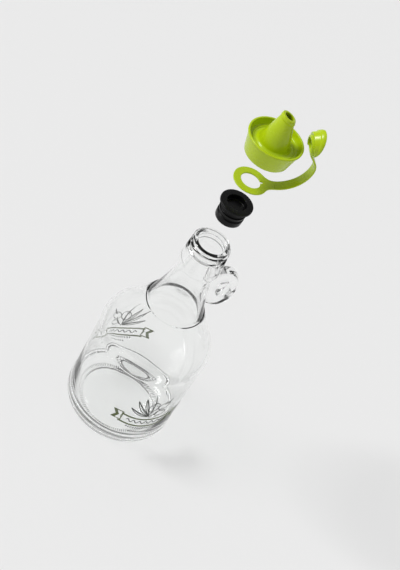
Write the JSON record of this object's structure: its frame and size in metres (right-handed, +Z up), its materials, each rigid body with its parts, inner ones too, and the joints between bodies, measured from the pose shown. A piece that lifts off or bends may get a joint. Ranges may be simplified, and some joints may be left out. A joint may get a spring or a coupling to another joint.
{
  "type": "glass oil bottle",
  "caption": "Clear glass oil bottle with a finger loop, a finned rubber plug, a lime pourer with a drip cup, and a strap that carries the spout's cap.",
  "frame": {"origin": "on the bottle's axis, in the plane of the base ring that it stands on", "axes": "+Z up along the bottle's axis; +X towards the finger loop and the strap; the prints face -Y and +Y"},
  "size_m": [0.082, 0.082, 0.2997],
  "materials": {
    "glass": "clear polished glass, nearly colourless",
    "rubber": "black satin rubber",
    "lime_plastic": "lime green moulded plastic, soft gloss",
    "print_ink": "screen-printed dark line ink on the glass",
    "print_green": "screen-printed olive green ink on the glass"
  },
  "bodies": {
    "bottle": {"glass_bottle": "glass"},
    "plug": {"rubber_plug": "rubber"},
    "strap": {"strap_ring": "lime_plastic"},
    "strap_bend": {"strap_band": "lime_plastic"},
    "cap": {"spout_cap": "lime_plastic"},
    "spout": {"pourer": "lime_plastic"}
  },
  "joints": [
    {"name": "plug_lift", "type": "slide", "parent": "bottle", "child": "plug", "axis": [0, 0, 1], "range_m": [-0.0368, 0]},
    {"name": "strap_lift", "type": "slide", "parent": "plug", "child": "strap", "axis": [0, 0, 1], "range_m": [-0.0188, 0]},
    {"name": "spout_lift", "type": "slide", "parent": "strap", "child": "spout", "axis": [0, 0, 1], "range_m": [-0.0217, 0]},
    {"name": "strap_flex", "type": "hinge", "parent": "strap", "child": "strap_bend", "pos_m": [0.02571, 0, 0.24928], "axis": [0, 1, 0], "range_deg": [0, 45]},
    {"name": "cap_flex", "type": "hinge", "parent": "strap_bend", "child": "cap", "pos_m": [0.0322, 0, 0.26385], "axis": [0, 1, 0], "range_deg": [0, 45]}
  ],
  "couplings": [
    {"joint": "cap_flex", "follows": "strap_flex", "ratio": 1}
  ]
}
